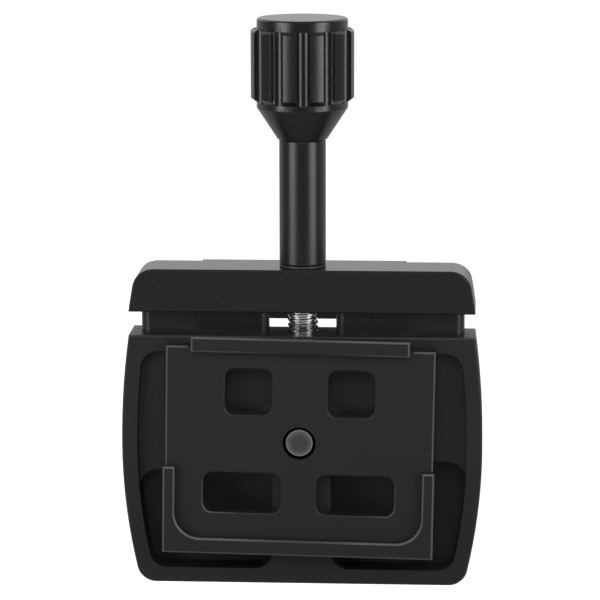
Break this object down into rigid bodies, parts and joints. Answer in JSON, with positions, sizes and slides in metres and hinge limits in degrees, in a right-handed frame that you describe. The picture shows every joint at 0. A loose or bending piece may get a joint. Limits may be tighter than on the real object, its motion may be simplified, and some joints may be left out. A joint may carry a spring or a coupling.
{
  "type": "dovetail quick release clamp",
  "caption": "Screw-knob camera clamp: a fixed and a sliding jaw form a 38 mm dovetail channel, with a lipped quick release plate bolted to the underside.",
  "frame": {"origin": "where the clamp screw's axis meets the end face of the fixed jaw, on which the clamp stands", "axes": "+X along the dovetail channel, +Y from the plate on the underside to the open channel, +Z along the clamp screw towards the knob"},
  "size_m": [0.0702, 0.0202, 0.1107],
  "materials": {
    "black_anodised_body": "fine bead-blasted black anodising, satin",
    "black_anodised_jaw": "fine bead-blasted black anodising, satin",
    "black_anodised_plate": "bead-blasted black anodising with bright broken edges",
    "black_anodised_knob": "turned and milled, black anodised, satin",
    "black_anodised_sleeve": "turned, black anodised, satin",
    "bright_steel": "bright rolled thread",
    "spring_steel": "plain spring steel",
    "dark_steel": "dark grey faced end",
    "black_nylon": "plain black nylon"
  },
  "bodies": {
    "clamp_base": {"clamp_body": "black_anodised_body", "head_plate": "black_anodised_plate", "centre_screw": "dark_steel"},
    "jaw": {"moving_jaw": "black_anodised_jaw"},
    "knob_and_screw": {"knob": "black_anodised_knob", "screw_sleeve": "black_anodised_sleeve", "clamp_screw": "bright_steel", "retaining_ring": "spring_steel", "thrust_washer": "black_nylon"}
  },
  "joints": [
    {"name": "jaw_slide", "type": "slide", "parent": "clamp_base", "child": "jaw", "axis": [0, 0, 1], "range_m": [-0.0045, 0.0024]},
    {"name": "knob_turn", "type": "hinge", "parent": "jaw", "child": "knob_and_screw", "pos_m": [0, 0, 0.054], "axis": [0, 0, 1], "range_deg": [-1625, 870]}
  ],
  "couplings": [
    {"joint": "knob_turn", "follows": "jaw_slide", "rad_per_m": 6283.2}
  ]
}
